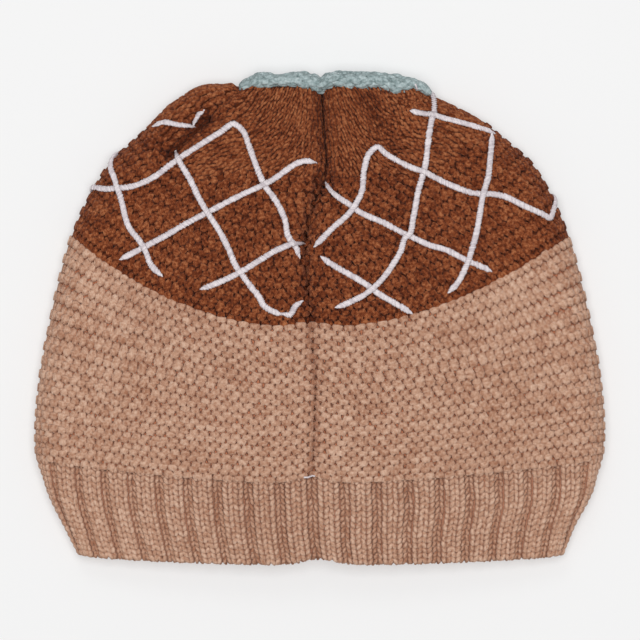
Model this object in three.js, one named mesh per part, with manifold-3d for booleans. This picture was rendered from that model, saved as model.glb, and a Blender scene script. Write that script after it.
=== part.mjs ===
// A knitted beanie lying on its front with the back seam upwards: a ribbed band, a garter-stitch body,
// a crown in a second colour that is gathered to a chunky tip, and a lattice of raised embroidery.
// Millimetres. +X runs across the hat, +Y from the mouth to the tip, +Z up. It rests on z = 0.
import * as THREE from 'three';
import { mergeVertices } from 'three/addons/utils/BufferGeometryUtils.js';
import Module from 'manifold-3d';

const wasm = await Module();
wasm.setup();

// Driving dimensions
const hat = {
  halfWidth: 114, // middle to side fold, at the widest row
  length: 190.5, // lowest point of the mouth to the crown's top edge
  loft: 20, // how far the upper layer stands above the side folds
  foldRadius: 7.5, // outside radius of the side folds
};
const clearance = 0.3; // gap between neighbouring pieces

const band = { wall: 4.2, ribs: 40, ribHeight: 1.6, crowding: 0.09 };
const body = { wall: 4.5, swell: 1.6, topRow: 15 };
const crown = { wall: 4.5, swell: 1.4, topRow: 37 };
const seam = { depth: 5, halfWidth: 3.4, pull: 2.4, pullReach: 9 }; // pull is how far it draws the rows up
const gather = { firstRow: 33 };
const tip = { rise: 6.8, thickness: 16.5, underside: 0.4 };
const embroidery = { width: 2.1, height: 1.4, sink: 1, lift: 0.4, overFold: 9, step: 6, fineness: 0.08 };

// Rings of knitting from the mouth to the tip. row counts garter ridges up from the top of the band.
// width, shift and drift are shares of hat.halfWidth, side and middle are heights up the hat as shares
// of hat.length, puff is a share of hat.loft, fold of hat.foldRadius and crease of seam.depth. shift
// moves a whole ring across and drift its upper middle. bow is the power that bends a row from its
// middle up to its sides.
const ringColumns = ['row', 'width', 'side', 'middle', 'shift', 'drift', 'puff', 'fold', 'bow', 'crease'];
const rings = [
  [-8.3, 0.853, 0.021, 0.0145, 0.002, -0.045, 0.34, 0.85, 2.4, 0.1],
  [-5.5, 0.901, 0.084, 0.07, -0.002, -0.042, 0.5, 0.92, 2.0, 0.06],
  [-2.8, 0.958, 0.152, 0.13, 0.0, -0.044, 0.64, 0.96, 1.8, 0.1],
  [0.0, 0.985, 0.224, 0.19, -0.002, -0.045, 0.78, 1.0, 1.6, 0.2],
  [5.0, 0.981, 0.355, 0.294, 0.0, -0.045, 0.93, 1.0, 1.6, 0.2],
  [10.0, 0.942, 0.501, 0.403, 0.0, -0.042, 1.0, 1.0, 1.8, 0.22],
  [15.0, 0.864, 0.689, 0.512, 0.0, -0.036, 0.98, 1.05, 2.1, 0.35],
  [20.0, 0.75, 0.829, 0.6215, 0.003, -0.022, 0.9, 1.1, 2.1, 0.6],
  [23.0, 0.646, 0.89, 0.687, 0.0, -0.01, 0.8, 1.12, 2.15, 0.85],
  [26.0, 0.548, 0.938, 0.753, -0.006, -0.004, 0.67, 1.12, 2.2, 1.0],
  [30.0, 0.4, 0.988, 0.84, -0.024, 0.0, 0.46, 1.12, 2.3, 1.0],
  [34.0, 0.352, 0.999, 0.932, 0.02, 0.0, 0.22, 1.12, 2.4, 1.0],
  [37.0, 0.323, 1.004, 1.004, 0.045, -0.03, 0.08, 1.12, 2.4, 0.8],
];

// Creases of the upper layer where the gathered crown folds over itself. x and y are shares of
// hat.halfWidth and hat.length, deep is a share of hat.foldRadius and wide of hat.halfWidth.
const foldColumns = ['x0', 'y0', 'x1', 'y1', 'deep', 'wide'];
const folds = [
  [-0.36, 0.97, -0.6, 0.855, 0.6, 0.035],
  [0.2, 0.985, 0.29, 0.87, 0.3, 0.04],
  [-0.2, 0.985, -0.23, 0.89, 0.16, 0.04],
  [0.06, 0.86, 0.1, 0.74, 0.2, 0.06],
];

// Strokes of embroidery as points across the back, as shares of hat.halfWidth and hat.length.
// over names the end, first or last, that runs on round the side fold.
const strokes = [
  { side: 'left', over: 'first', points: [[-0.697, 0.868], [-0.716, 0.82], [-0.708, 0.792], [-0.686, 0.76], [-0.66, 0.708], [-0.61, 0.663], [-0.58, 0.625], [-0.545, 0.607]] },
  { side: 'left', over: 'first', points: [[-0.8, 0.775], [-0.77, 0.79], [-0.7, 0.791], [-0.645, 0.796], [-0.58, 0.813], [-0.51, 0.845], [-0.42, 0.88], [-0.35, 0.905], [-0.295, 0.917]] },
  { side: 'left', points: [[-0.3, 0.919], [-0.282, 0.92], [-0.25, 0.885], [-0.224, 0.84], [-0.196, 0.796], [-0.146, 0.752], [-0.12, 0.7], [-0.098, 0.676], [-0.07, 0.648]] },
  { side: 'left', points: [[-0.51, 0.873], [-0.488, 0.841], [-0.452, 0.805], [-0.418, 0.764], [-0.383, 0.73], [-0.348, 0.695], [-0.318, 0.662], [-0.288, 0.628], [-0.24, 0.588], [-0.2, 0.552], [-0.172, 0.536], [-0.133, 0.528]] },
  { side: 'left', points: [[-0.692, 0.64], [-0.61, 0.664], [-0.53, 0.691], [-0.402, 0.732], [-0.3, 0.766], [-0.21, 0.79], [-0.1, 0.83], [-0.046, 0.842], [-0.014, 0.843]] },
  { side: 'left', points: [[-0.408, 0.576], [-0.35, 0.592], [-0.262, 0.622], [-0.208, 0.642], [-0.143, 0.66], [-0.08, 0.673], [-0.05, 0.681]] },
  { side: 'left', points: [[-0.133, 0.528], [-0.103, 0.529], [-0.08, 0.546], [-0.063, 0.555]] },
  { side: 'right', points: [[0.021, 0.808], [0.043, 0.783], [0.077, 0.765], [0.11, 0.751], [0.216, 0.716], [0.304, 0.692], [0.423, 0.662], [0.507, 0.638], [0.59, 0.617]] },
  { side: 'right', points: [[-0.02, 0.667], [0.043, 0.702], [0.115, 0.746], [0.143, 0.779], [0.154, 0.829], [0.171, 0.858], [0.199, 0.873], [0.227, 0.86], [0.305, 0.833], [0.362, 0.819], [0.456, 0.792], [0.546, 0.775], [0.585, 0.776], [0.645, 0.77], [0.703, 0.752], [0.79, 0.725]] },
  { side: 'right', over: 'last', points: [[0.785, 0.722], [0.8, 0.735], [0.818, 0.755]] },
  { side: 'right', points: [[0.393, 0.966], [0.395, 0.953], [0.384, 0.923], [0.374, 0.876], [0.362, 0.82], [0.343, 0.788], [0.322, 0.727], [0.304, 0.69], [0.275, 0.658], [0.249, 0.628], [0.222, 0.605], [0.185, 0.581], [0.145, 0.565], [0.098, 0.549], [0.052, 0.536]] },
  { side: 'right', over: 'last', points: [[0.35, 0.952], [0.395, 0.95], [0.497, 0.931], [0.56, 0.918], [0.615, 0.906]] },
  { side: 'right', points: [[0.612, 0.906], [0.605, 0.855], [0.595, 0.811], [0.57, 0.773], [0.56, 0.738], [0.546, 0.7], [0.521, 0.656], [0.507, 0.632], [0.477, 0.594], [0.443, 0.57]] },
  { side: 'right', points: [[0.003, 0.644], [0.047, 0.63], [0.104, 0.609], [0.159, 0.585], [0.2, 0.571], [0.249, 0.552], [0.316, 0.528]] },
  { side: 'fold', over: 'last', points: [[-0.412, 0.945], [-0.44, 0.921], [-0.49, 0.925], [-0.54, 0.93], [-0.59, 0.923]] },
];

// Chunky stitches of the tip: along is a share of hat.halfWidth from the middle, long and high are
// shares of hat.halfWidth and tip.rise.
const tipColumns = ['along', 'long', 'high'];
const tipStitches = [
  [-0.235, 0.055, 0.66],
  [-0.165, 0.07, 0.84],
  [-0.075, 0.075, 0.86],
  [-0.015, 0.055, 0.72],
  [0.065, 0.07, 1.0],
  [0.15, 0.07, 0.96],
  [0.235, 0.07, 0.88],
  [0.32, 0.06, 0.66],
];

const mesh = { columns: 68, nearSeam: 0.005, ribPoints: 4, bandRows: 4, bodyRows: 6, crownRows: 11 };
const slopeStep = 1e-3; // in columns and rows, for surface normals

const named = (columns, values) => Object.fromEntries(columns.map((column, i) => [column, values[i]]));

// The ring at any row, by a cubic through the table
function ringAt(row) {
  const last = rings.length - 1;
  let i = 0;
  while (i < last - 1 && row > rings[i + 1][0]) i++;
  const span = rings[i + 1][0] - rings[i][0];
  const t = (row - rings[i][0]) / span;
  const slope = (j, c) => {
    const before = rings[Math.max(j - 1, 0)];
    const after = rings[Math.min(j + 1, last)];
    return (after[c] - before[c]) / (after[0] - before[0]);
  };
  const values = ringColumns.map((_, c) => {
    const [p, q] = [rings[i][c], rings[i + 1][c]];
    const [m, n] = [slope(i, c) * span, slope(i + 1, c) * span];
    return p + t * (m + t * (3 * (q - p) - 2 * m - n + t * (2 * (p - q) + m + n)));
  });
  return named(ringColumns, values);
}

const distanceTo = (x, y, x0, y0, x1, y1) => {
  const [dx, dy] = [x1 - x0, y1 - y0];
  const t = THREE.MathUtils.clamp(((x - x0) * dx + (y - y0) * dy) / (dx * dx + dy * dy), 0, 1);
  return Math.hypot(x - x0 - t * dx, y - y0 - t * dy);
};

const foldLines = folds.map((values) => named(foldColumns, values));
const acrossHat = (share) => share * hat.halfWidth;
const upHat = (share) => (share - 0.5) * hat.length - tip.rise / 2;

// The last rows are drawn together until they end in one flat ring
const gatheredAt = (row) => THREE.MathUtils.smoothstep(row, gather.firstRow, crown.topRow);

// A point on the hat before any crease. column runs once round, from -0.5 on the front's middle through
// 0 on the back seam to 0.5. upper is 0 on the underside and 1 on the back.
function smoothAt(column, row) {
  const ring = ringAt(row);
  const halfWidth = acrossHat(ring.width);
  const radius = hat.foldRadius * ring.fold;
  const flat = halfWidth - radius;
  const halfRound = Math.PI * radius;
  const along = Math.abs(column) * (4 * flat + 2 * halfRound);
  let [x, z] = [along, 2 * radius];
  if (along > flat + halfRound) [x, z] = [2 * flat + halfRound - along, 0];
  else if (along > flat) {
    const turn = (along - flat) / radius;
    [x, z] = [flat + radius * Math.sin(turn), radius * (1 + Math.cos(turn))];
  }
  const share = Math.min(1, Math.abs(x) / halfWidth);
  const inner = 1 - share * share;
  const upper = z / (2 * radius);
  const fromSeam = 1 - Math.exp(-((x / seam.pullReach) ** 2));
  const sag = seam.pull * fromSeam * inner * (1 - gatheredAt(row));
  const y = upHat(ring.middle + (ring.side - ring.middle) * share ** ring.bow) - sag;
  const aside = acrossHat(ring.shift) + upper * acrossHat(ring.drift) * inner;
  z += upper * hat.loft * ring.puff * inner ** 1.3;
  return { point: new THREE.Vector3(Math.sign(column || 1) * x + aside, y, z), x, upper, ring };
}

function outwardAt(column, row) {
  const across = smoothAt(column + slopeStep, row).point.sub(smoothAt(column - slopeStep, row).point);
  const up = smoothAt(column, row + slopeStep).point.sub(smoothAt(column, row - slopeStep).point);
  const outward = across.cross(up);
  outward.y *= 1 - gatheredAt(row);
  return outward.normalize();
}

function creaseAt({ point, x, upper, ring }) {
  let depth = seam.depth * ring.crease * Math.exp(-((x / seam.halfWidth) ** 2));
  for (const fold of foldLines) {
    const [x0, y0, x1, y1] = [acrossHat(fold.x0), upHat(fold.y0), acrossHat(fold.x1), upHat(fold.y1)];
    const away = distanceTo(point.x, point.y, x0, y0, x1, y1) / acrossHat(fold.wide);
    depth += hat.foldRadius * fold.deep * Math.exp(-away * away);
  }
  return upper * depth;
}

// A point at a height over the surface. swell is how far a piece stands out, except where it rests.
function inKnit(column, row, swell, height = 0) {
  const smooth = smoothAt(column, row);
  const stand = swell * Math.sin((Math.PI / 2) * Math.min(1, 2 * smooth.upper));
  return smooth.point.addScaledVector(outwardAt(column, row), stand + height - creaseAt(smooth));
}

// Ribs crowd a little towards the side folds
const ribHeightAt = (column) => {
  const place = band.ribs * (column - (band.crowding * Math.sin(4 * Math.PI * column)) / (4 * Math.PI));
  const fromMiddle = Math.abs(place - Math.round(place));
  return band.ribHeight * THREE.MathUtils.smoothstep(fromMiddle, 0.1, 0.3);
};

// A closed sleeve of knitting between two rows, with its own thickness and ribbing
function sleeve({ from, to, rows, columns, swell, wall, ribbed = false, grow = 0 }) {
  const round = columns.length;
  const points = [];
  for (const outer of [true, false])
    for (let j = 0; j < rows; j++)
      for (const column of columns) {
        const outerHeight = ribbed ? ribHeightAt(column) - band.ribHeight : 0;
        const height = outer ? outerHeight + grow : -wall - grow;
        const at = inKnit(column, from + ((to - from) * j) / (rows - 1), swell, height);
        points.push(...at.toArray());
      }
  const faces = [];
  const quad = (a, b, c, d) => faces.push(a, b, c, a, c, d);
  const inside = rows * round;
  const top = (rows - 1) * round;
  for (let i = 0; i < round; i++) {
    const next = (i + 1) % round;
    for (let j = 0; j < rows - 1; j++) {
      const [low, high] = [j * round, (j + 1) * round];
      quad(low + i, low + next, high + next, high + i);
      quad(inside + low + next, inside + low + i, inside + high + i, inside + high + next);
    }
    quad(next, i, inside + i, inside + next);
    quad(top + i, top + next, inside + top + next, inside + top + i);
  }
  const geometry = new THREE.BufferGeometry();
  geometry.setAttribute('position', new THREE.Float32BufferAttribute(points, 3));
  geometry.setIndex(faces);
  return geometry;
}

const evenColumns = (count) => Array.from({ length: count }, (_, i) => i / count - (i > count / 2 ? 1 : 0));
const plainColumns = evenColumns(mesh.columns);
plainColumns.splice(1, 0, mesh.nearSeam);
plainColumns.push(-mesh.nearSeam);

// Solids for cutting and joining
function solidOf(geometry) {
  const bare = geometry.clone();
  bare.deleteAttribute('normal');
  bare.deleteAttribute('uv');
  const merged = mergeVertices(bare, 1e-4);
  return new wasm.Manifold(
    new wasm.Mesh({
      numProp: 3,
      vertProperties: merged.attributes.position.array,
      triVerts: new Uint32Array(merged.index.array),
    }),
  );
}

function geometryOf(solid) {
  const { vertProperties, triVerts } = solid.getMesh();
  const geometry = new THREE.BufferGeometry();
  geometry.setAttribute('position', new THREE.BufferAttribute(vertProperties, 3));
  geometry.setIndex(new THREE.BufferAttribute(triVerts, 1));
  return geometry;
}

// The column and row of a point on the back, found by closing in on its row
function onBack([xShare, yShare]) {
  const [x, y] = [acrossHat(xShare), upHat(yShare)];
  let [lowRow, highRow] = [body.topRow - 6, crown.topRow];
  let column = 0;
  for (let n = 0; n < 24; n++) {
    const row = (lowRow + highRow) / 2;
    let [left, right] = [-0.25, 0.25];
    for (let m = 0; m < 24; m++) {
      column = (left + right) / 2;
      if (smoothAt(column, row).point.x < x) left = column;
      else right = column;
    }
    if (smoothAt(column, row).point.y < y) lowRow = row;
    else highRow = row;
  }
  return new THREE.Vector3(column, (lowRow + highRow) / 2, 0);
}

// One embroidered stroke, a low rounded bar that starts under the surface and is cut to sit on it
function strokeSolid({ points, over }) {
  const onCrown = (at, height = 0) => inKnit(at.x, at.y, crown.swell, height);
  const route = points.map(onBack);
  if (over) {
    if (over === 'first') route.reverse();
    const end = route.at(-1);
    const run = end.clone().sub(route.at(-2));
    const reach = onCrown(end).distanceTo(onCrown(route.at(-2)));
    for (const part of [0.5, 1]) route.push(end.clone().addScaledVector(run, (part * embroidery.overFold) / reach));
  }
  const curve = new THREE.CatmullRomCurve3(route, false, 'centripetal');
  const fine = curve.getPoints(route.length * 8).map((at) => onCrown(at));
  const length = fine.reduce((sum, at, i) => sum + (i ? at.distanceTo(fine[i - 1]) : 0), 0);
  const steps = Math.max(2, Math.round(length / embroidery.step));
  const half = embroidery.width / 2;
  const section = [
    [-half, -embroidery.sink],
    [half, -embroidery.sink],
    [half * 0.7, embroidery.height],
    [-half * 0.7, embroidery.height],
  ];
  const positions = [];
  for (let j = 0; j <= steps; j++) {
    const share = j / steps;
    const at = curve.getPoint(share);
    const [before, after] = [curve.getPoint(Math.max(0, share - 0.01)), curve.getPoint(Math.min(1, share + 0.01))];
    const along = onCrown(after).sub(onCrown(before)).normalize();
    const across = along.clone().cross(outwardAt(at.x, at.y)).normalize();
    const lift = across.clone().cross(along);
    for (const [u, v] of section)
      positions.push(...onCrown(at).addScaledVector(across, u).addScaledVector(lift, v).toArray());
  }
  const count = section.length;
  const faces = [];
  for (let j = 0; j < steps; j++)
    for (let i = 0; i < count; i++) {
      const next = (i + 1) % count;
      const [a, b, c, d] = [j * count + i, j * count + next, (j + 1) * count + next, (j + 1) * count + i];
      faces.push(a, c, b, a, d, c);
    }
  for (let i = 1; i < count - 1; i++) {
    faces.push(0, i, i + 1);
    faces.push(steps * count, steps * count + i + 1, steps * count + i);
  }
  const geometry = new THREE.BufferGeometry();
  geometry.setAttribute('position', new THREE.Float32BufferAttribute(positions, 3));
  geometry.setIndex(faces);
  return solidOf(geometry);
}

function latticeSolid(side, seat) {
  const bars = strokes.filter((stroke) => stroke.side === side).map(strokeSolid);
  return bars.reduce((joined, bar) => joined.add(bar)).subtract(seat).simplify(embroidery.fineness);
}

// The tip is a row of chunky stitches on a flat sole that closes the gathered crown
function tipSolid() {
  const sole = upHat(ringAt(crown.topRow).middle) + clearance;
  const stitches = tipStitches.map((values) => {
    const { along, long, high } = named(tipColumns, values);
    const ball = new THREE.SphereGeometry(1, 10, 8);
    ball.rotateX(Math.PI / 2);
    ball.scale(acrossHat(long) * 1.25, tip.rise * high, tip.thickness / 2);
    ball.translate(acrossHat(along), sole, tip.underside + tip.thickness / 2);
    return solidOf(ball);
  });
  const reach = hat.halfWidth * 2;
  const below = new THREE.BoxGeometry(reach, reach, reach);
  below.translate(0, sole - reach / 2, 0);
  return stitches.reduce((joined, stitch) => joined.add(stitch)).subtract(solidOf(below));
}

const yarn = (color) => new THREE.MeshStandardMaterial({ color, roughness: 0.9, metalness: 0 });
const materials = {
  tan: yarn(0xb98d73),
  brown: yarn(0x6f3b22),
  teal: yarn(0x92a5a4),
  white: new THREE.MeshStandardMaterial({ color: 0xe6e1e2, roughness: 0.5, metalness: 0 }),
};

const beanie = new THREE.Group();
function add(name, geometry, material) {
  const piece = new THREE.Mesh(geometry, material);
  piece.name = name;
  geometry.computeVertexNormals();
  beanie.add(piece);
}

const rowGap = 0.036; // rows left out at each side of a join between sleeves, half the clearance
const bodySleeve = {
  from: rowGap,
  to: body.topRow - rowGap,
  rows: mesh.bodyRows,
  columns: plainColumns,
  ...body,
};
const crownSleeve = {
  from: body.topRow + rowGap,
  to: crown.topRow,
  rows: mesh.crownRows,
  columns: plainColumns,
  ...crown,
};

add(
  'rib_band',
  sleeve({
    from: rings[0][0],
    to: -rowGap,
    rows: mesh.bandRows,
    columns: evenColumns(band.ribs * mesh.ribPoints),
    swell: 0,
    wall: band.wall,
    ribbed: true,
  }),
  materials.tan,
);
add('body', sleeve(bodySleeve), materials.tan);
add('crown', sleeve(crownSleeve), materials.brown);

add('crown_tip', geometryOf(tipSolid()), materials.teal);

const seat = [crownSleeve, { ...bodySleeve, to: body.topRow + 3 * rowGap }]
  .map((knit) => solidOf(sleeve({ ...knit, grow: embroidery.lift })))
  .reduce((joined, knit) => joined.add(knit));
for (const side of ['left', 'right', 'fold'])
  add(`lattice_${side}`, geometryOf(latticeSolid(side, seat)), materials.white);

export default beanie;
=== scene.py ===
import math

import bpy
import numpy as np
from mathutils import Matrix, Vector


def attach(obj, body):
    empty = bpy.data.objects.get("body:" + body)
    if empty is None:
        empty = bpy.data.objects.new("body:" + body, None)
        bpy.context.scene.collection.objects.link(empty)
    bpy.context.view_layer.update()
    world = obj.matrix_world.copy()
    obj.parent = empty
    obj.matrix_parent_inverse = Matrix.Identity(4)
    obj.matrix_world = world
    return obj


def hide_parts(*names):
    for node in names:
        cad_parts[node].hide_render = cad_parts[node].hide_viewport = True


# The hat as the solid model has it: sizes in millimetres, places by the row of knit
hat = {"halfWidth": 114, "length": 190.5, "loft": 20, "foldRadius": 7.5}
seam = {"depth": 5, "halfWidth": 3.4, "pull": 2.4, "pullReach": 9}
band = {
    "wall": 4.2, "swell": 0, "ribs": 40, "ribHeight": 1.6, "ribSlope": (0.1, 0.3), "crowding": 0.09,
    "tuck": 0.11,
}
body = {"wall": 4.5, "swell": 1.6, "topRow": 15}
crown = {"wall": 4.5, "swell": 1.4, "topRow": 37}
tipRise = 6.8
gatherFirstRow = 33
rowGap = 0.036

# The sharp line of the seam in its groove, which deepens where the body meets the crown
slit = {"halfWidth": 0.9, "body": 1.7, "crown": 4.2, "rows": (14, 18)}

# The side that lies down: how far its outside is pressed in, and the lowest height of wall and yarn
floorSide = {"pressed": 0.9, "outsideAbove": -2, "wallLowest": 0.12, "yarnLowest": 0.05}

# Sections of the hat from the mouth up. side and middle are heights as shares of the length, shift and drift
# go sideways as shares of the half width, and bow bends the row. puff, fold and crease are shares of the loft,
# of the fold's radius and of the seam's depth.
ringColumns = ["row", "width", "side", "middle", "shift", "drift", "puff", "fold", "bow", "crease"]
rings = np.array([
    [-8.3, 0.853, 0.021, 0.0145, 0.002, -0.012, 0.34, 0.85, 2.4, 0.1],
    [-5.5, 0.901, 0.084, 0.07, -0.002, -0.02, 0.5, 0.92, 2.0, 0.06],
    [-2.8, 0.958, 0.152, 0.13, 0.0, -0.025, 0.64, 0.96, 1.8, 0.1],
    [0.0, 0.985, 0.224, 0.19, -0.002, -0.027, 0.78, 1.0, 1.6, 0.2],
    [5.0, 0.981, 0.355, 0.294, 0.0, -0.018, 0.93, 1.0, 1.6, 0.2],
    [10.0, 0.942, 0.501, 0.403, 0.0, -0.019, 1.0, 1.0, 1.8, 0.22],
    [15.0, 0.864, 0.689, 0.512, 0.0, -0.034, 0.98, 1.05, 2.1, 0.35],
    [20.0, 0.75, 0.829, 0.6215, 0.003, -0.051, 0.9, 1.1, 2.1, 0.6],
    [23.0, 0.646, 0.89, 0.687, 0.0, -0.05, 0.8, 1.12, 2.15, 1.05],
    [26.0, 0.548, 0.938, 0.753, -0.006, -0.02, 0.67, 1.12, 2.2, 1.0],
    [30.0, 0.4, 0.988, 0.84, -0.024, 0.044, 0.46, 1.12, 2.3, 1.0],
    [34.0, 0.352, 0.999, 0.932, 0.02, -0.006, 0.22, 1.12, 2.4, 1.0],
    [37.0, 0.323, 1.004, 1.004, 0.045, -0.04, 0.08, 1.12, 2.4, 0.8],
])

# Folds: both ends as shares of the hat, depth as a share of the side fold's radius, width as a share of the
# hat's half width, and how much painted shade darkens the yarn in it
folds = [
    [-0.277, 0.997, -0.393, 0.942, 0.4, 0.013, 0.6],
    [-0.393, 0.938, -0.53, 0.864, 0.5, 0.016, 1.3],
    [-0.4, 0.94, -0.54, 0.864, 0.35, 0.036, 0.3],
    [-0.5, 0.985, -0.31, 1.01, -0.36, 0.09, 0],
    [-0.52, 0.93, -0.4, 0.97, -0.3, 0.05, 0],
    [0.165, 0.975, 0.255, 0.88, 0.5, 0.03, 0.7],
    [0.0, 0.99, 0.026, 0.79, 0.3, 0.028, 0.8],
    [-0.2, 0.985, -0.23, 0.89, 0.16, 0.04, 0.1],
    [0.06, 0.86, 0.1, 0.74, 0.2, 0.06, 0],
    [-0.029, 0.2, -0.018, 0.3, 0.1, 0.009, 0.9],  # from here the seam through the body
    [-0.018, 0.3, -0.019, 0.41, 0.1, 0.009, 0.9],
    [-0.019, 0.41, -0.034, 0.52, 0.1, 0.009, 0.9],
]
shadeBroad = 1.5  # how much wider than the fold its painted shade is
creaseBroad = 1.5  # how much wider the wall has a fold than the stitches on it

rng = np.random.default_rng(7)
mm = 0.001


def smoothstep(x, low, high):
    t = np.clip((x - low) / (high - low), 0, 1)
    return t * t * (3 - 2 * t)


# The section at a row, on a smooth curve through the table
def ringAt(row):
    rows = rings[:, 0]
    i = np.clip(np.searchsorted(rows, row, side="right") - 1, 0, len(rows) - 2)
    before = np.maximum(np.arange(len(rows)) - 1, 0)
    after = np.minimum(np.arange(len(rows)) + 1, len(rows) - 1)
    slopes = (rings[after] - rings[before]) / (rows[after] - rows[before])[:, None]
    span = (rows[i + 1] - rows[i])[..., None]
    t = (row[..., None] - rows[i][..., None]) / span
    p, q = rings[i], rings[i + 1]
    m, n = slopes[i] * span, slopes[i + 1] * span
    values = p + t * (m + t * (3 * (q - p) - 2 * m - n + t * (2 * (p - q) + m + n)))
    return {name: values[..., k] for k, name in enumerate(ringColumns)}


def gatheredAt(row):
    return smoothstep(row, gatherFirstRow, crown["topRow"])


def upHat(share):
    return (share - 0.5) * hat["length"] - tipRise / 2


# A point on the hat before any crease: where it is, its distance across, and its share of the back
def smoothAt(column, row):
    ring = ringAt(row)
    halfWidth = hat["halfWidth"] * ring["width"]
    radius = hat["foldRadius"] * ring["fold"]
    flat = halfWidth - radius
    halfRound = np.pi * radius
    along = np.abs(column) * (4 * flat + 2 * halfRound)
    turn = np.clip((along - flat) / radius, 0, np.pi)
    under = along > flat + halfRound
    x = np.where(under, 2 * flat + halfRound - along, np.minimum(along, flat) + radius * np.sin(turn))
    z = np.where(under, 0, radius * (1 + np.cos(turn)))
    share = np.minimum(1, np.abs(x) / halfWidth)
    inner = 1 - share * share
    upper = z / (2 * radius)
    fromSeam = 1 - np.exp(-((x / seam["pullReach"]) ** 2))
    sag = seam["pull"] * fromSeam * inner * (1 - gatheredAt(row))
    y = upHat(ring["middle"] + (ring["side"] - ring["middle"]) * share ** ring["bow"]) - sag
    aside = hat["halfWidth"] * (ring["shift"] + upper * ring["drift"] * inner)
    z = z + upper * hat["loft"] * ring["puff"] * inner**1.3
    side = np.where(column < 0, -1.0, 1.0)
    return np.stack([side * x + aside, y, z], -1), x, upper, ring


def outwardAt(column, row):
    step = 1e-3
    across = smoothAt(column + step, row)[0] - smoothAt(column - step, row)[0]
    up = smoothAt(column, row + step)[0] - smoothAt(column, row - step)[0]
    outward = np.cross(across, up)
    outward[..., 1] *= 1 - gatheredAt(row)
    return outward / np.linalg.norm(outward, axis=-1, keepdims=True)


def distanceToFold(point, x0, y0, x1, y1):
    a = np.array([x0 * hat["halfWidth"], upHat(y0)])
    run = np.array([x1 * hat["halfWidth"], upHat(y1)]) - a
    away = point[..., :2] - a
    t = np.clip(away @ run / (run @ run), 0, 1)[..., None]
    return np.linalg.norm(away - t * run, axis=-1)


# Painted shade: yarn is coloured darker in the folds and along the seam of the upper side
def foldShade(at):
    shade = 0
    for *ends, _, wide, dark in folds:
        near = distanceToFold(at, *ends) / (shadeBroad * wide * hat["halfWidth"])
        shade = shade + dark * np.exp(-near * near) * (at[..., 2] > hat["foldRadius"])
    return shade


# How deep the seam and the folds go, where they are wider by the factor broad
def creaseAt(point, x, upper, ring, broad):
    depth = seam["depth"] * ring["crease"] * np.exp(-((x / seam["halfWidth"]) ** 2))
    deeper = smoothstep(ring["row"], *slit["rows"])
    sharp = slit["body"] * (ring["row"] > 0) + (slit["crown"] - slit["body"]) * deeper
    depth = depth + sharp * np.exp(-((x / (broad * slit["halfWidth"])) ** 2))
    for *ends, deep, wide, _ in folds:
        near = distanceToFold(point, *ends) / (wide * hat["halfWidth"] * (broad if deep > 0 else 1))
        depth = depth + hat["foldRadius"] * deep * np.exp(-near * near)
    return upper * depth


# A point at a height over the knit, and the way out of it. The side that lies down is pressed flat.
def inKnit(column, row, swell, height, broad=1.0):
    column = (column + 0.5) % 1 - 0.5
    point, x, upper, ring = smoothAt(column, row)
    outward = outwardAt(column, row)
    free = np.sin(np.pi / 2 * np.minimum(1, 2 * upper))
    pressed = floorSide["pressed"] * (1 - free) * (height > floorSide["outsideAbove"])
    stand = swell * free - pressed + height - creaseAt(point, x, upper, ring, broad)
    at = point + outward * stand[..., None]
    at[..., 2] = np.maximum(at[..., 2], floorSide["wallLowest"])
    return at, outward


ribGrid = np.linspace(-0.5, 0.5, 4001)
ribPlaces = band["ribs"] * (ribGrid - band["crowding"] * np.sin(4 * np.pi * ribGrid) / (4 * np.pi))


# Towards the mouth the ribs stay upright, so that more of them go round the side folds
def columnOfRib(place, row):
    half = band["ribs"] / 2
    column = np.interp((place + half) % band["ribs"] - half, ribPlaces, ribGrid)
    tuck = band["tuck"] * np.minimum(1, row / rings[0, 0])
    return column + tuck * np.sin(2 * np.pi * column) / (2 * np.pi)


def ribDepth(place):
    return band["ribHeight"] * (smoothstep(np.abs(place - np.round(place)), *band["ribSlope"]) - 1)


# Shader maths written as sums and products
class Value:
    def __init__(self, socket):
        self.socket = socket

    def math(self, operation, *values):
        tree = self.socket.id_data
        node = tree.nodes.new("ShaderNodeMath")
        node.operation = operation
        for slot, value in zip(node.inputs, values):
            connect(slot, value)
        return Value(node.outputs[0])

    def __add__(self, other):
        return self.math("ADD", self, other)

    def __sub__(self, other):
        return self.math("SUBTRACT", self, other)

    def __rsub__(self, other):
        return self.math("SUBTRACT", other, self)

    def __mul__(self, other):
        return self.math("MULTIPLY", self, other)

    __radd__ = __add__
    __rmul__ = __mul__

    def sine(self):
        return self.math("SINE", self)


def connect(slot, value):
    if isinstance(value, Value):
        slot.id_data.links.new(value.socket, slot)
    else:
        slot.default_value = value


class Shader:
    def __init__(self, name):
        self.material = bpy.data.materials.new(name)
        self.material.use_nodes = True
        self.tree = self.material.node_tree
        self.surface = self.tree.nodes["Principled BSDF"]
        self.place = self.node("ShaderNodeTexCoord", output="Object")

    # Any node: its settings first, a ramp's stops among them, then the values or links of its sockets
    def node(self, kind, output=0, stops=(), settings=(), **inputs):
        node = self.tree.nodes.new(kind)
        for name, value in dict(settings).items():
            setattr(node, name, value)
        for _ in range(len(stops) - 2):
            node.color_ramp.elements.new(0.5)
        for k, (place, colour) in enumerate(stops):
            node.color_ramp.elements[k].position = place
            node.color_ramp.elements[k].color = (*colour, 1)
        for name, value in inputs.items():
            connect(node.inputs[name], value)
        return Value(node.outputs[output])

    def noise(self, scale, detail):
        return self.node("ShaderNodeTexNoise", Vector=self.place, Scale=scale, Detail=detail)

    def attribute(self, name):
        return self.node("ShaderNodeAttribute", output="Fac", settings={"attribute_name": name})

    def finish(self, **inputs):
        for name, value in inputs.items():
            connect(self.surface.inputs[name.replace("_", " ")], value)
        return self.material


def linear(colour):
    return [((c / 255 + 0.055) / 1.055) ** 2.4 for c in colour]
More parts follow.
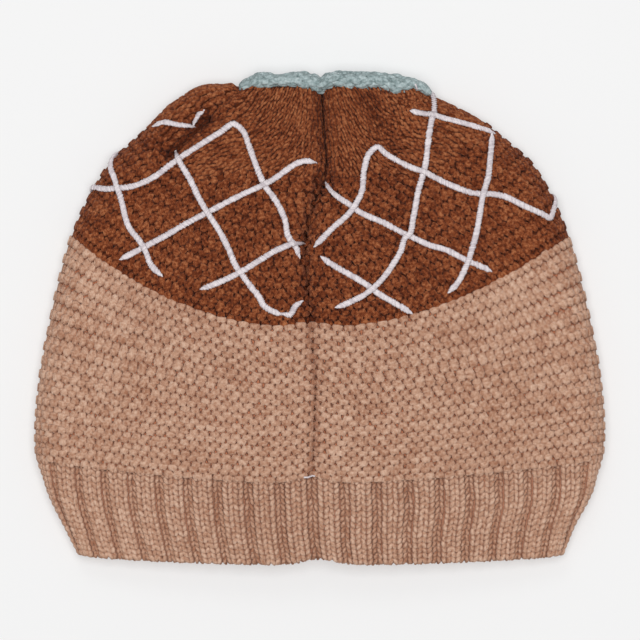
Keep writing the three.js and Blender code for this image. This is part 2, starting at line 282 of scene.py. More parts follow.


# Plied yarn: a mottled colour, painted shade where the stitch dives and in folds, spiral plies and loose
# fibres.
# Noises are given by scale and detail.
yarnLook = {
    "mottle": (900, 4), "cloud": (45, 2), "fibre": (2600, 2), "turns": 2.6, "plies": 3, "cloudShare": 0.16,
    "plyShare": 0.12, "brightness": 0.3, "bump": 0.6, "depth": 0.0003, "roughness": 0.9,
}


def yarnMaterial(name, dark, mid, light, flecks=0.85, sheen=0.12):
    shader = Shader(name)
    mottle = shader.noise(*yarnLook["mottle"])
    plies = shader.attribute("around") * yarnLook["plies"]
    twist = (shader.attribute("along") * yarnLook["turns"] + plies) * (2 * math.pi)
    ply = twist.sine() * 0.5 + 0.5
    # The attribute adds random tone from stitch to stitch, and painted shade at dives, folds, gutters and cores
    cloud = shader.noise(*yarnLook["cloud"]) + shader.attribute("toneAndShade")
    mix = (mottle - 0.5) * flecks + cloud * yarnLook["cloudShare"] + ply * yarnLook["plyShare"]
    stops = [(0.3, linear(dark)), (0.54, linear(mid)), (0.76, linear(light))]
    height = ply * 0.6 + mottle * 0.5 + shader.noise(*yarnLook["fibre"]) * 0.5
    return shader.finish(
        Base_Color=shader.node("ShaderNodeValToRGB", stops=stops, Fac=mix + yarnLook["brightness"]),
        Normal=shader.node(
            "ShaderNodeBump", Strength=yarnLook["bump"], Distance=yarnLook["depth"], Height=height
        ),
        Roughness=yarnLook["roughness"], Sheen_Weight=sheen, Sheen_Roughness=0.5, Specular_IOR_Level=0.15,
    )


# Satin stitch: glossy threads with a faint mottle
def satinMaterial():
    shader = Shader("white_thread")
    mottle = shader.noise(900, 3)
    mix = mottle * 0.6 + shader.attribute("toneAndShade") * 0.3
    stops = [(0.25, linear((202, 191, 196))), (0.6, linear((238, 230, 232)))]
    return shader.finish(
        Base_Color=shader.node("ShaderNodeValToRGB", stops=stops, Fac=mix),
        Normal=shader.node("ShaderNodeBump", Strength=0.5, Distance=0.0001, Height=shader.noise(4000, 2)),
        Roughness=0.45, Sheen_Weight=0.15, Specular_IOR_Level=0.45,
    )


def makePiece(name, points, faces, attributes, material, slotName, replaced=()):
    mesh = bpy.data.meshes.new(name)
    points = np.asarray(points, np.float32) * mm
    faces = np.asarray(faces, np.int32)
    sides = faces.shape[1]
    mesh.vertices.add(len(points))
    mesh.vertices.foreach_set("co", points.ravel())
    mesh.loops.add(faces.size)
    mesh.loops.foreach_set("vertex_index", faces.ravel())
    mesh.polygons.add(len(faces))
    mesh.polygons.foreach_set("loop_start", np.arange(len(faces), dtype=np.int32) * sides)
    mesh.polygons.foreach_set("use_smooth", np.full(len(faces), True))
    mesh.update(calc_edges=True)
    for key, values in attributes.items():
        layer = mesh.attributes.new(key, "FLOAT", "POINT")
        layer.data.foreach_set("value", np.asarray(values, np.float32).ravel())
    mesh.materials.append(material)
    piece = bpy.data.objects.new(name, mesh)
    bpy.context.scene.collection.objects.link(piece)
    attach(piece, "root")
    if replaced:
        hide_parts(*replaced)
    print(name, len(points), "points", len(faces) * (sides - 2), "triangles")
    return piece


# Faces of closed tubes whose point numbers are given by tube, ring and side
def tubeFaces(index):
    after = np.roll(index, -1, axis=2)
    faces = [np.stack([index[:, :-1], index[:, 1:], after[:, 1:], after[:, :-1]], -1).reshape(-1, 4)]
    last = index.shape[2] - 1
    for k in range(last // 2):
        faces.append(index[:, 0][:, [k, k + 1, last - 1 - k, last - k]])
        faces.append(index[:, -1][:, [k, last - k, last - 1 - k, k + 1]])
    return np.concatenate(faces)


# Many tubes at once. Each row of the arrays is one strand, from its first point to its last.
def tubes(at, outward, radius, toneAndShade, sides=6, flatten=1.0, square=1.0, up=None, tall=1.0):
    along = np.gradient(at, axis=1)
    along /= np.linalg.norm(along, axis=-1, keepdims=True) + 1e-9
    across = np.cross(along, outward)
    across /= np.linalg.norm(across, axis=-1, keepdims=True) + 1e-9
    lift = np.cross(across, along)
    angle = np.arange(sides) * 2 * np.pi / sides
    wide = np.sign(np.cos(angle)) * np.abs(np.cos(angle)) ** square
    ring = across[:, :, None] * wide[:, None] + lift[:, :, None] * np.sin(angle)[:, None] * flatten
    ring = ring * radius[:, :, None, None]
    if up is not None:
        ring = ring + up[:, :, None] * ((ring * up[:, :, None]).sum(-1) * (tall - 1)[:, :, None])[..., None]
    points = at[:, :, None] + ring
    points[..., 2] = np.maximum(points[..., 2], floorSide["yarnLowest"])
    count, steps = at.shape[:2]
    faces = tubeFaces(np.arange(count * steps * sides).reshape(count, steps, sides))
    length = np.concatenate(
        [np.zeros((count, 1)), np.cumsum(np.linalg.norm(np.diff(at, axis=1), axis=-1), axis=1)], axis=1
    )
    attributes = {
        "along": np.broadcast_to(length[..., None], points.shape[:3]),
        "around": np.broadcast_to(np.arange(sides) / sides, points.shape[:3]),
        "toneAndShade": np.broadcast_to(toneAndShade[..., None], points.shape[:3]),
    }
    return points.reshape(-1, 3), faces, {k: v.reshape(-1) for k, v in attributes.items()}


def joined(parts):
    start = 0
    points, faces, attributes = [], [], {}
    for somePoints, someFaces, some in parts:
        points.append(somePoints)
        faces.append(someFaces + start)
        start += len(somePoints)
        for key, values in some.items():
            attributes.setdefault(key, []).append(values)
    attributes = {key: np.concatenate(values) for key, values in attributes.items()}
    return np.concatenate(points), np.concatenate(faces), attributes


# The walls behind the stitches: the steps of their grids, and how far they lie behind the knit
bandBack = {"rows": 12, "columns": 480, "sunk": 1.15}
bodyBack = {"rows": 30, "columns": 160, "sunk": 1.2}
crownBack = {"rows": 64, "columns": 280, "sunk": 1.5}


# A closed sleeve with an outside, an inside and both rims
def wallSleeve(piece, back, first, last, ribbed=False):
    place = np.arange(back["columns"]) / back["columns"] * (band["ribs"] if ribbed else 1)
    place, r = np.meshgrid(place, np.linspace(first, last, back["rows"]))
    c = columnOfRib(place, r) if ribbed else place
    dip = ribDepth(place) if ribbed else np.zeros_like(c)
    swell = piece["swell"] + (bandRise(r) if ribbed else 0)
    outer = inKnit(c, r, swell, dip - back["sunk"], creaseBroad)[0]
    inner = inKnit(c, r, swell, np.full_like(c, -piece["wall"]), creaseBroad)[0]
    points = np.concatenate([outer, inner[::-1]]).reshape(-1, 3)
    index = np.arange(len(points)).reshape(-1, back["columns"])
    index = np.concatenate([index, index[:1]])
    after = np.roll(index, -1, axis=1)
    faces = np.stack([index[:-1], after[:-1], after[1:], index[1:]], -1).reshape(-1, 4)
    count = len(points)
    return points, faces, {"along": np.zeros(count), "around": np.zeros(count), "toneAndShade": np.full(count, 0.5)}


# Garter knit: rows of short arches, and between them lower loops that hang the other way, half a stitch on.
# Shifts and widths are shares of a stitch, rises are shares of a row, and yarn, sunk and dive are in
# millimetres.
garter = {
    "arch": {
        "shift": 0.0, "width": 0.8, "up": 0.24, "rise": 0.07, "yarn": 1.62, "sunk": 0.5, "dive": 1.0,
        "edge": 0.3,
    },
    "loop": {
        "shift": 0.5, "width": 0.82, "up": -0.24, "rise": -0.05, "yarn": 1.58, "sunk": 0.6, "dive": 0.9,
        "edge": -0.25,
    },
    "rowPitch": 4.15, "drawn": (0.75, 1.5), "narrowing": 1.2, "edgeReach": 0.03, "flatten": 0.44,
    "square": 0.5, "shade": 1.2, "bodyCount": 120, "crownStitch": 3.6, "crownLoose": 1.3, "crownNarrow": 0.92,
}
alongStitch = np.array([-1, -0.72, 0, 0.72, 1])
uneven = {"place": 0.04, "row": 0.025, "slant": 0.045, "height": 0.06, "yarn": 0.04}  # from stitch to stitch

# Plain knit near the top, whose columns crowd towards the seam as they rise
knit = {
    "firstRow": 29.0, "sideRows": 4.0, "sides": (0.1, 0.17), "lastRow": 37.0, "rowStep": 0.46, "rise": 0.66,
    "startAbove": 0.2, "columns": 72, "sideColumns": 96, "crowd": 0.3, "widths": (2.2, 5.5), "loose": 0.1,
    "looseRow": 0.08, "tilt": 0.95, "looseTilt": 0.12, "tiltAtSeam": 14,
    "stitch": {"spread": 0.36, "foot": 0.13, "yarn": 0.23, "drop": 0.8, "shade": -0.4},
}

# Both legs of a knit stitch: where they start and how long they are as shares of a row, how far their ends
# dive, how thin the ends are and how much painted shade darkens them, and how much the legs differ
legs = {"start": -0.55, "length": 1.25, "dive": 0.6, "thin": 0.55, "shade": 0.6, "uneven": 0.05}


# Where the garter knit ends and the plain knit starts: earlier at the sides
def knitStart(column):
    return knit["firstRow"] - knit["sideRows"] * smoothstep(np.abs((column + 0.5) % 1 - 0.5), *knit["sides"])


# Where the rows lie further apart, the yarn is drawn out with them, square to the row
def drawnAt(column, row):
    up = smoothAt(column, row + 0.25)[0] - smoothAt(column, row - 0.25)[0]
    along = smoothAt(column + 1e-3, row)[0] - smoothAt(column - 1e-3, row)[0]
    along /= np.linalg.norm(along, axis=-1, keepdims=True)
    up -= along * (up * along).sum(-1, keepdims=True)
    pitch = np.linalg.norm(up, axis=-1)
    return np.clip(2 * pitch / garter["rowPitch"], *garter["drawn"]), up / pitch[..., None]


# Strands with a flat, square section, with painted shade in the folds
def ridgeStrands(column, row, height, radius, toneAndShade, swell):
    at, outward = inKnit(column, row, swell, height)
    drawn, up = drawnAt(column, row)
    shape = {"flatten": garter["flatten"], "square": garter["square"], "up": up, "tall": drawn}
    return tubes(at, outward, radius, toneAndShade - foldShade(at), **shape)


# Columns round one row, and the length of yarn before each: more of it where the rows lie further apart
def rowRun(row):
    columns = np.linspace(-0.5, 0.5, 601)
    rows = np.full(len(columns), row)
    steps = np.linalg.norm(np.diff(smoothAt(columns, rows)[0], axis=0), axis=1)
    drawn = drawnAt(columns, rows)[0][1:] ** garter["narrowing"]
    return columns, np.concatenate([[0], np.cumsum(steps * drawn)])


# One row of arches or loops. The yarn of each is thickest at both sides of its middle, and thin where it dives.
def garterRow(kind, row, swell, count, loose=0.8, narrow=1.0):
    size = garter[kind]
    t = alongStitch[None, :]
    jitter = rng.normal(0, loose, (5, count, 1))
    place = np.arange(count)[:, None] + size["shift"] + uneven["place"] * jitter[0]
    place = place + size["width"] * narrow * t / 2
    columns, run = rowRun(row)
    column = np.interp(place % count, run * count / run[-1], columns)
    up = row + size["up"] + size["rise"] * (1 - 2 * t**2)
    up = up + uneven["row"] * jitter[1] + uneven["slant"] * jitter[4] * t
    atFold = np.exp(-(((np.abs(column) - 0.25) / garter["edgeReach"]) ** 2))
    height = size["edge"] * atFold - size["sunk"] - size["dive"] * t**6 + uneven["height"] * jitter[2] / loose
    radius = size["yarn"] * (0.76 + 0.44 * t**2 - 0.45 * t**6) * (1 + uneven["yarn"] * jitter[3])
    # Painted shade: each stitch is coloured darker where it dives between its neighbours
    toneAndShade = rng.uniform(0, 1, (count, 1)) - garter["shade"] * t**6
    kept = row < knitStart(column[:, 2])
    arrays = (a[kept] for a in (column, up, height, radius, toneAndShade))
    return ridgeStrands(*arrays, swell)


# Knit stitches: two slanting legs, closest at the foot; tilt leans a whole stitch, as a share of its width
def vLegs(column, row, pitch, rise, swell, stitch, thick=1.0, tilt=0.0, points=5):
    t = np.linspace(0, 1, points)[None, :]
    bend = np.sin(np.pi * t)
    count = len(column)
    parts = []
    for side in (-1, 1):
        apart = stitch["foot"] + (stitch["spread"] - stitch["foot"]) * t**0.8
        c = column[:, None] + side * pitch[:, None] * apart
        c = c + pitch[:, None] * np.reshape(tilt, (-1, 1)) * (t - 0.5)
        r = np.broadcast_to(row[:, None] + rise * (legs["start"] + legs["length"] * t), c.shape)
        height = -stitch["drop"] - legs["dive"] * (1 - bend**0.7) + rng.normal(0, legs["uneven"], (count, 1))
        radius = stitch["yarn"] * thick * (legs["thin"] + (1 - legs["thin"]) * bend**0.8)
        radius = radius * rng.normal(1, legs["uneven"], (count, 1))
        # Painted shade darkens the ends of the legs; the stitch's own shade then darkens or lightens the whole
        # stitch
        toneAndShade = rng.uniform(0, 1, (count, 1)) - legs["shade"] * (1 - bend) - stitch["shade"]
        at, outward = inKnit(c, r, swell, height)
        parts.append(tubes(at, outward, radius, toneAndShade - foldShade(at)))
    return parts


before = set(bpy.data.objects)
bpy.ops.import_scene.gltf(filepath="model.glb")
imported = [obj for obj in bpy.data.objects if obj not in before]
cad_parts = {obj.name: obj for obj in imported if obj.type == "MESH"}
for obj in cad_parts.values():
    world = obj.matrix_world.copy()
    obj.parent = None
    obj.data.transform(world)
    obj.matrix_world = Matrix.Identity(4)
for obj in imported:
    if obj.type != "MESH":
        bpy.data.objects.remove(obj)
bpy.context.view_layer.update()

tanYarn = yarnMaterial("tan_yarn", (168, 116, 89), (204, 161, 135), (228, 192, 168))
brownYarn = yarnMaterial("brown_yarn", (84, 34, 13), (136, 70, 38), (178, 111, 71), flecks=1.1, sheen=0.05)
tealYarn = yarnMaterial("teal_yarn", (122, 140, 140), (172, 189, 190), (208, 221, 222))
# The walls behind the stitches are darker, redder copies of the yarn: painted shade in the gaps between
# stitches
tanWall = yarnMaterial("tan_wall", (162, 100, 72), (184, 119, 88), (198, 136, 106))
bandWall = yarnMaterial("band_wall", (162, 110, 86), (182, 129, 103), (198, 148, 122))
brownWall = yarnMaterial("brown_wall", (80, 33, 14), (100, 45, 20), (118, 58, 28), sheen=0.05)
whiteThread = satinMaterial()


# Ribs of two knit columns with a sunk purl column in the gutter between them; offsets are shares of a rib
rib = {
    "rows": 16, "under": 0.25, "rise": 1.3, "riseRows": (-1.6, 0.2), "stitchAt": 0.165, "wallFrom": 0.1,
    "loose": 0.008, "gutterLoose": 0.01,
    "stitch": {"spread": 0.135, "foot": 0.025, "yarn": 0.98, "drop": 0.9, "shade": -0.3},
    # The gutter's yarn is coloured darker: painted shade in the sunk column
    "gutter": {"spread": 0.13, "foot": 0.02, "yarn": 0.82, "drop": 2.15, "shade": 0.3},
}


# A place counted in ribs as a column and a row, and the width of a rib there
def ribColumn(place, row):
    width = columnOfRib(place + 0.05, row) - columnOfRib(place - 0.05, row)
    return columnOfRib(place, row), row, ((width + 0.5) % 1 - 0.5) * 10


# The top of the band swells out to meet the body
def bandRise(row):
    return rib["rise"] * smoothstep(row, *rib["riseRows"])


def buildBand():
    step = (rib["under"] - rings[0, 0]) / rib["rows"]
    stitches, gutters = [], []
    ribs = np.arange(band["ribs"])
    for k in range(rib["rows"]):
        row = np.full(len(ribs), rings[0, 0] + step * (k + 0.5))
        swell = band["swell"] + bandRise(row[0])
        for offset in (-rib["stitchAt"], rib["stitchAt"]):
            at = ribColumn(ribs + 0.5 + offset + rng.normal(0, rib["loose"], len(ribs)), row)
            stitches += vLegs(*at, step, swell, rib["stitch"])
        at = ribColumn(ribs + rng.normal(0, rib["gutterLoose"], len(ribs)), row)
        gutters += vLegs(*at, -step, swell, rib["gutter"])
    makePiece("band_ribs", *joined(stitches), tanYarn, "band_yarn")
    makePiece("band_gutters", *joined(gutters), tanYarn, "band_yarn")
    wall = wallSleeve(band, bandBack, rings[0, 0] + rib["wallFrom"], -rowGap, ribbed=True)
    makePiece("band_wall", *wall, bandWall, "band_yarn", ("rib_band",))


def buildBody():
    for kind in ("arch", "loop"):
        rows = [garterRow(kind, k + 0.5, body["swell"], garter["bodyCount"]) for k in range(body["topRow"])]
        makePiece("body_" + kind, *joined(rows), tanYarn, "body_yarn")
    wall = wallSleeve(body, bodyBack, rowGap, body["topRow"] - rowGap)
    makePiece("body_wall", *wall, tanWall, "body_yarn", ("body",))


# One row of plain knit: the stitches lean towards the seam
def plainRow(row):
    columns = knit["columns" if row > knit["firstRow"] else "sideColumns"]
    middle = (np.arange(columns) + 0.5 + rng.normal(0, knit["loose"], columns)) / columns - 0.5
    crowd = knit["crowd"] * smoothstep(row, knit["firstRow"], knit["lastRow"])
    middle = middle - crowd * np.sin(4 * np.pi * middle) / (4 * np.pi)
    lean = np.tanh(knit["tiltAtSeam"] * middle) * np.cos(2 * np.pi * middle)
    tilt = rng.normal(0, knit["looseTilt"], columns) - knit["tilt"] * lean
    rows = row + rng.normal(0, knit["looseRow"], columns)
    left, right = (inKnit(middle + side / columns, rows, crown["swell"], 0)[0] for side in (-0.5, 0.5))
    width = np.clip(np.linalg.norm(right - left, axis=-1), *knit["widths"])
    kept = row >= knitStart(middle)
    pitch = np.full(kept.sum(), 1 / columns)
    return vLegs(
        middle[kept], rows[kept], pitch, knit["rise"], crown["swell"], knit["stitch"], width[kept, None],
        tilt[kept], points=4,
    )


def buildCrown():
    loose, narrow = garter["crownLoose"], garter["crownNarrow"]
    for kind in ("arch", "loop"):
        rows = []
        for k in range(body["topRow"], int(knit["firstRow"])):
            count = int(round(rowRun(k + 0.5)[1][-1] / garter["crownStitch"]))
            rows.append(garterRow(kind, k + 0.5, crown["swell"], count, loose, narrow))
        makePiece("crown_" + kind, *joined(rows), brownYarn, "crown_yarn")
    parts = []
    first = knit["firstRow"] - knit["sideRows"] + knit["startAbove"]
    for row in np.arange(first, knit["lastRow"], knit["rowStep"]):
        parts += plainRow(row)
    makePiece("crown_knit", *joined(parts), brownYarn, "crown_yarn")
    wall = wallSleeve(crown, crownBack, body["topRow"] + rowGap, crown["topRow"])
    makePiece("crown_wall", *wall, brownWall, "crown_yarn", ("crown",))


# The tip: a cast-off chain of thick yarn. x, upper edge and lower edge seen from above, in millimetres.
tipEdges = np.array([
    [-32.6, 94.2, 91.0], [-29.2, 96.0, 92.0], [-25.6, 98.0, 92.8], [-22.4, 98.6, 92.2], [-17.6, 97.4, 94.0],
    [-12.8, 98.2, 93.2], [-6.4, 98.6, 91.9], [-2.4, 97.8, 91.6], [0.2, 95.9, 91.0], [2.8, 98.2, 92.4],
    [6.8, 99.2, 92.8], [12.8, 98.8, 92.0], [18.0, 98.7, 91.8], [21.6, 98.4, 93.0], [25.6, 98.2, 91.6],
    [29.6, 97.6, 89.4], [33.2, 97.0, 90.8], [36.8, 96.4, 92.6], [40.8, 94.8, 91.4], [44.4, 91.6, 89.8],
])
tipKnit = {
    "middle": 11.4, "half": 9.4, "over": 0.9, "centre": 6, "halfLength": 41.5, "endPower": 6, "link": 4.6,
    "linkShare": 0.66, "rows": 12, "yarn": 1.08, "sunk": 1.15, "dome": 0.7, "core": 1.4, "shade": 0.8,
}


# A point on the tip at a turn round it, so far out from it, and the way out
def tipSurface(x, turn, out):
    top, bottom = (np.interp(x, tipEdges[:, 0], tipEdges[:, k]) for k in (1, 2))
    toEnd = (x - tipKnit["centre"]) / tipKnit["halfLength"]
    end = np.clip(1 - toEnd ** tipKnit["endPower"], 0.05, 1) ** 0.5
    bottom = bottom - tipKnit["over"]
    high, wide = (top - bottom) / 2 + out, (tipKnit["half"] + out) * end
    y = (top + bottom) / 2 + high * np.cos(turn)
    z = tipKnit["middle"] * (0.85 + 0.15 * end) + wide * np.sin(turn)
    outward = np.stack([np.zeros_like(x), np.cos(turn) / high, np.sin(turn) / wide], -1)
    return np.stack([x, y, z], -1), outward / np.linalg.norm(outward, axis=-1, keepdims=True)


def buildTip():
    parts = []
    first, last = tipEdges[0, 0] + 1, tipEdges[-1, 0] - 1
    links = int((last - first) / tipKnit["link"])
    t = np.linspace(-1, 1, 7)[None, :]
    bend = np.cos(np.pi / 2 * t)
    for k in range(tipKnit["rows"]):
        turn = 2 * np.pi * k / tipKnit["rows"]
        middle = first + (np.arange(links)[:, None] + 0.5 + 0.5 * (k % 2)) * tipKnit["link"]
        middle = middle + rng.normal(0, 0.25, (links, 1))
        for side in (-1, 1):
            x = np.clip(middle + tipKnit["linkShare"] * tipKnit["link"] * t, first - 0.6, last + 0.6)
            lean = turn + side * (0.1 + 0.2 * t) + rng.normal(0, 0.05, (links, 1))
            height = tipKnit["dome"] * bend - tipKnit["sunk"] + rng.normal(0, 0.2, (links, 1))
            at, outward = tipSurface(x, lean, height)
            radius = tipKnit["yarn"] * (0.4 + 0.6 * bend) * rng.normal(1, 0.08, (links, 1))
            # Painted shade: the ends of each link are coloured darker where they dive
            toneAndShade = rng.uniform(0, 1, (links, 1)) - tipKnit["shade"] * (1 - bend)
            parts.append(tubes(at, outward, radius, toneAndShade))
    turn, x = np.meshgrid(-np.arange(24) / 24 * 2 * np.pi, np.linspace(first, last, 60))
    core = tipSurface(x, turn, -tipKnit["core"])[0].reshape(-1, 3)
    flat = np.zeros(len(core))
    index = np.arange(len(core)).reshape(1, *x.shape)
    # The core under the links is coloured darker: painted shade between the links
    parts.append((core, tubeFaces(index), {"along": flat, "around": flat, "toneAndShade": flat - 0.6}))
    makePiece("tip_stitches", *joined(parts), tealYarn, "tip_yarn", ("crown_tip",))


# Embroidery. Each stroke's points are shares of the hat's half width and length, and a later stroke lies over
# an earlier one.
strokes = {
    "lattice_left_thread": [
        [
            [-0.83, 0.74], [-0.8, 0.775], [-0.77, 0.79], [-0.7, 0.791], [-0.645, 0.796], [-0.58, 0.813],
            [-0.51, 0.845], [-0.42, 0.88], [-0.35, 0.906], [-0.297, 0.924], [-0.271, 0.912],
            [-0.248, 0.88], [-0.224, 0.84], [-0.196, 0.8], [-0.146, 0.756], [-0.12, 0.722],
            [-0.11, 0.69], [-0.085, 0.668], [-0.07, 0.648],
        ],
        [
            [-0.692, 0.642], [-0.61, 0.668], [-0.53, 0.693], [-0.402, 0.735], [-0.207, 0.792],
            [-0.046, 0.846], [-0.014, 0.846],
        ],
        [
            [-0.512, 0.876], [-0.488, 0.845], [-0.452, 0.809], [-0.418, 0.767], [-0.386, 0.735],
            [-0.348, 0.7], [-0.318, 0.666], [-0.288, 0.626], [-0.27, 0.611], [-0.242, 0.588],
            [-0.207, 0.561], [-0.196, 0.548], [-0.165, 0.535], [-0.133, 0.529],
        ],
        [
            [-0.69, 0.89], [-0.698, 0.869], [-0.723, 0.838], [-0.709, 0.806], [-0.69, 0.764],
            [-0.665, 0.712], [-0.61, 0.668], [-0.582, 0.628], [-0.547, 0.609],
        ],
        [
            [-0.41, 0.58], [-0.35, 0.594], [-0.316, 0.603], [-0.275, 0.615], [-0.207, 0.64],
            [-0.154, 0.659], [-0.102, 0.672], [-0.067, 0.678], [-0.053, 0.682],
        ],
        [
            [-0.13, 0.529], [-0.105, 0.527], [-0.084, 0.546], [-0.063, 0.556],
        ],
    ],
    "lattice_right_thread": [
        [
            [0.003, 0.646], [0.046, 0.629], [0.105, 0.609], [0.158, 0.59], [0.196, 0.573], [0.249, 0.554],
            [0.316, 0.531],
        ],
        [
            [0.021, 0.811], [0.042, 0.785], [0.105, 0.756], [0.137, 0.741], [0.218, 0.718], [0.305, 0.691],
            [0.386, 0.67], [0.425, 0.664], [0.509, 0.64], [0.593, 0.619],
        ],
        [
            [0.389, 0.987], [0.396, 0.958], [0.386, 0.926], [0.375, 0.88], [0.361, 0.825], [0.344, 0.792],
            [0.323, 0.729], [0.305, 0.691], [0.296, 0.687], [0.279, 0.659], [0.256, 0.636], [0.228, 0.611],
            [0.193, 0.588], [0.151, 0.568], [0.105, 0.554], [0.056, 0.542],
        ],
        [
            [-0.018, 0.669], [0.042, 0.706], [0.116, 0.75], [0.144, 0.782], [0.154, 0.832], [0.172, 0.863],
            [0.2, 0.876], [0.228, 0.863], [0.305, 0.836], [0.361, 0.823], [0.456, 0.796], [0.547, 0.779],
            [0.586, 0.779], [0.646, 0.773], [0.705, 0.756], [0.77, 0.737], [0.796, 0.729],
            [0.808, 0.748], [0.825, 0.777],
        ],
        [
            [0.314, 0.951], [0.386, 0.941], [0.47, 0.9285], [0.548, 0.915], [0.602, 0.903],
        ],
        [
            [0.592, 0.9], [0.592, 0.859], [0.586, 0.815], [0.566, 0.776], [0.556, 0.741], [0.544, 0.702],
            [0.523, 0.657], [0.509, 0.634], [0.479, 0.596], [0.446, 0.573],
        ],
    ],
    "lattice_fold_thread": [
        [
            [-0.575, 0.915], [-0.54, 0.92], [-0.494, 0.919], [-0.44, 0.9235],
        ],
        [
            [-0.442, 0.924], [-0.425, 0.94], [-0.404, 0.951],
        ],
    ],
}
satin = {
    "core": 0.8, "coreShade": -0.3, "step": 0.42, "halfWidth": 1.1, "dome": 0.66, "halfTurn": 1.35,
    "slant": 0.5, "thread": 0.29, "taper": 2.2, "endShare": 0.3, "seat": 0.3, "lift": 0.9, "reach": 2.4,
}
seatSearch = {"rowsUnder": 6.0, "halfColumns": 0.262, "halvings": 22}


# The columns and rows of points seen from above, by halving
def onBack(points):
    x, y = points[:, 0] * hat["halfWidth"], upHat(points[:, 1])
    low = np.full(len(x), body["topRow"] - seatSearch["rowsUnder"])
    high = np.full(len(x), float(crown["topRow"]))
    edge = np.full(len(x), seatSearch["halfColumns"])
    for _ in range(seatSearch["halvings"]):
        row = (low + high) / 2
        left, right = -edge, edge
        for _ in range(seatSearch["halvings"]):
            column = (left + right) / 2
            less = smoothAt(column, row)[0][:, 0] < x
            left, right = np.where(less, column, left), np.where(less, right, column)
        below = smoothAt(column, row)[0][:, 1] < y
        low, high = np.where(below, row, low), np.where(below, high, row)
    return np.stack([column, row], -1)


# A smooth way over the knit through a stroke's points, and the length along it
def smoothPath(points, step):
    seat = onBack(points)
    flat = points * [hat["halfWidth"], hat["length"]]
    s = np.concatenate([[0], np.cumsum(np.linalg.norm(np.diff(flat, axis=0), axis=1))])
    slope = np.gradient(seat, s, axis=0) if len(s) > 2 else np.repeat((seat[1:] - seat[:1]) / s[1], 2, axis=0)
    fine = np.linspace(0, s[-1], max(4, int(s[-1] / step)))
    i = np.clip(np.searchsorted(s, fine, side="right") - 1, 0, len(s) - 2)
    span = (s[i + 1] - s[i])[:, None]
    t = (fine - s[i])[:, None] / span
    p, q, m, n = seat[i], seat[i + 1], slope[i] * span, slope[i + 1] * span
    return p + t * (m + t * (3 * (q - p) - 2 * m - n + t * (2 * (p - q) + m + n))), fine


# Thin threads that cross the stroke at a slant, side by side over its core
def satinThreads(at, outward, taper):
    along = np.gradient(at, axis=0)
    along /= np.linalg.norm(along, axis=-1, keepdims=True)
    across = np.cross(along, outward)
    turn = np.linspace(-satin["halfTurn"], satin["halfTurn"], 5)[None, :, None]
    count = len(at)
    wide = satin["halfWidth"] * taper * rng.normal(1, 0.09, count)
    high = satin["dome"] * taper * rng.normal(1, 0.05, count)
    points = at[:, None] + across[:, None] * wide[:, None, None] * np.sin(turn)
    points = points + outward[:, None] * high[:, None, None] * np.cos(turn)
    points = points + along[:, None] * satin["slant"] * np.sin(turn)
    faceOut = across[:, None] * np.sin(turn) + outward[:, None] * np.cos(turn)
    radius = satin["thread"] * np.ones((count, 5)) * rng.normal(1, 0.08, (count, 1))
    toneAndShade = np.broadcast_to(rng.uniform(0, 1, (count, 1)), (count, 5))
    return tubes(points, faceOut, radius, toneAndShade, sides=4)


def buildEmbroidery():
    for name, routes in strokes.items():
        parts, earlier = [], []
        for route in routes:
            path, s = smoothPath(np.array(route), satin["step"])
            column, row = path[:, 0][None], path[:, 1][None]
            ground = inKnit(column, row, crown["swell"], np.zeros_like(column))[0][0, :, :2]
            lift = np.zeros(len(s))
            if earlier:
                away = np.linalg.norm(ground[:, None] - np.concatenate(earlier)[None], axis=-1).min(1)
                lift = satin["lift"] * np.exp(-((away / satin["reach"]) ** 2))
            earlier.append(ground)
            whole = smoothstep(np.minimum(s, s[-1] - s), 0, satin["taper"])
            taper = satin["endShare"] + (1 - satin["endShare"]) * whole
            at, outward = inKnit(column, row, crown["swell"], (satin["seat"] + lift)[None])
            # The core under the threads is coloured darker: painted shade between the threads
            toneAndShade = np.full((1, len(s)), satin["coreShade"])
            parts.append(tubes(at, outward, satin["core"] * taper[None], toneAndShade))
            parts.append(satinThreads(at[0], outward[0], taper))
        node = name.replace("_thread", "")
        makePiece(name, *joined(parts), whiteThread, "embroidery_thread", (node,))


# Two stray ends of white thread: a wavy one at the foot of the seam, and one on the tip
looseEnd = {
    "radius": 0.36, "points": 6, "columns": (-0.0068, 0.0025), "row": 0.05, "wave": 0.05, "waves": 600,
    "height": 2.0, "tipX": (38, 38.8), "tipTurn": (1.5, 2.2), "tipHeight": 0.8,
}


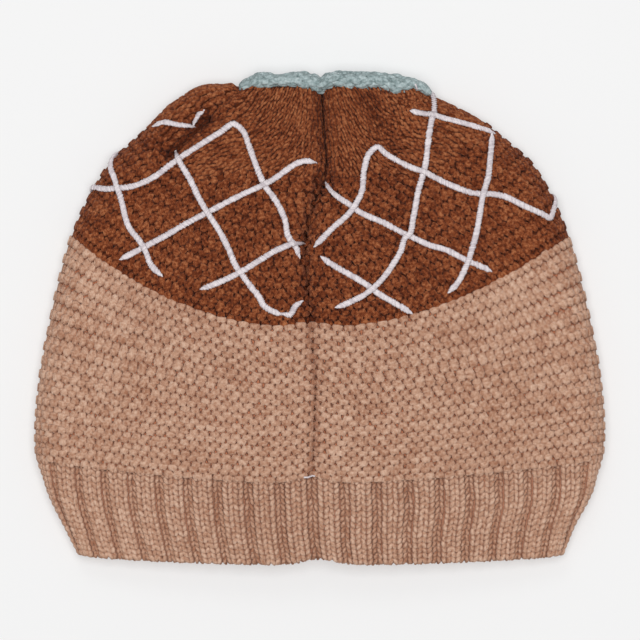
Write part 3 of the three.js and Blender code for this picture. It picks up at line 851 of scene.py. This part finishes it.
def buildLooseEnds():
    count = looseEnd["points"]
    column = np.linspace(*looseEnd["columns"], count)[None]
    row = looseEnd["row"] + looseEnd["wave"] * np.sin(looseEnd["waves"] * column)
    atSeam = inKnit(column, row, 0, np.full_like(column, looseEnd["height"]))
    x, turn = (np.linspace(*looseEnd[key], count)[None] for key in ("tipX", "tipTurn"))
    atTip = tipSurface(x, turn, looseEnd["tipHeight"])
    radius, toneAndShade = np.full((1, count), looseEnd["radius"]), np.full((1, count), 0.5)
    parts = [tubes(*way, radius, toneAndShade) for way in (atSeam, atTip)]
    makePiece("loose_ends", *joined(parts), whiteThread, "embroidery_thread")


buildBand()
print("band built")
buildBody()
print("body built")
buildCrown()
print("crown built")
buildTip()
print("tip built")
buildEmbroidery()
buildLooseEnds()
print("embroidery built")

# Floor, lights and camera
floorMaterial = Shader("floor").finish(
    Base_Color=(0.55, 0.55, 0.55, 1), Emission_Color=(1, 1, 1, 1), Emission_Strength=0.37,
    Roughness=0.9, Specular_IOR_Level=0.1,
)
bpy.ops.mesh.primitive_plane_add(size=6, location=(0, 0, 0))
floor = bpy.context.object
floor.name = "floor"
floor.data.materials.append(floorMaterial)

world = bpy.data.worlds.new("world")
bpy.context.scene.world = world
world.use_nodes = True
world.node_tree.nodes["Background"].inputs[0].default_value = (1, 1, 1, 1)
world.node_tree.nodes["Background"].inputs[1].default_value = 0.33


def addLamp(name, place, size, power):
    lamp = bpy.data.lights.new(name, "AREA")
    lamp.size, lamp.energy = size, power
    holder = bpy.data.objects.new(name, lamp)
    holder.location = place
    holder.rotation_euler = (Vector((0, 0, 0)) - Vector(place)).to_track_quat("-Z", "Y").to_euler()
    bpy.context.scene.collection.objects.link(holder)


addLamp("key", (-0.2, 0.8, 1.1), 0.4, 1.2)
addLamp("top", (0, 0.05, 1.6), 0.8, 16.6)

# The width that the photograph shows, and the height of the plane that has it
view = {"width": 0.256, "plane": 0.01, "y": -0.00025, "lens": 400, "sensor": 36}
camera = bpy.data.cameras.new("camera")
camera.sensor_width, camera.lens = view["sensor"], view["lens"]
cameraHolder = bpy.data.objects.new("camera", camera)
cameraHolder.location = (0, view["y"], view["width"] * view["lens"] / view["sensor"] + view["plane"])
camera.clip_start, camera.clip_end = 0.1, 20
bpy.context.scene.collection.objects.link(cameraHolder)
bpy.context.scene.camera = cameraHolder
bpy.context.scene.view_settings.view_transform = "Standard"
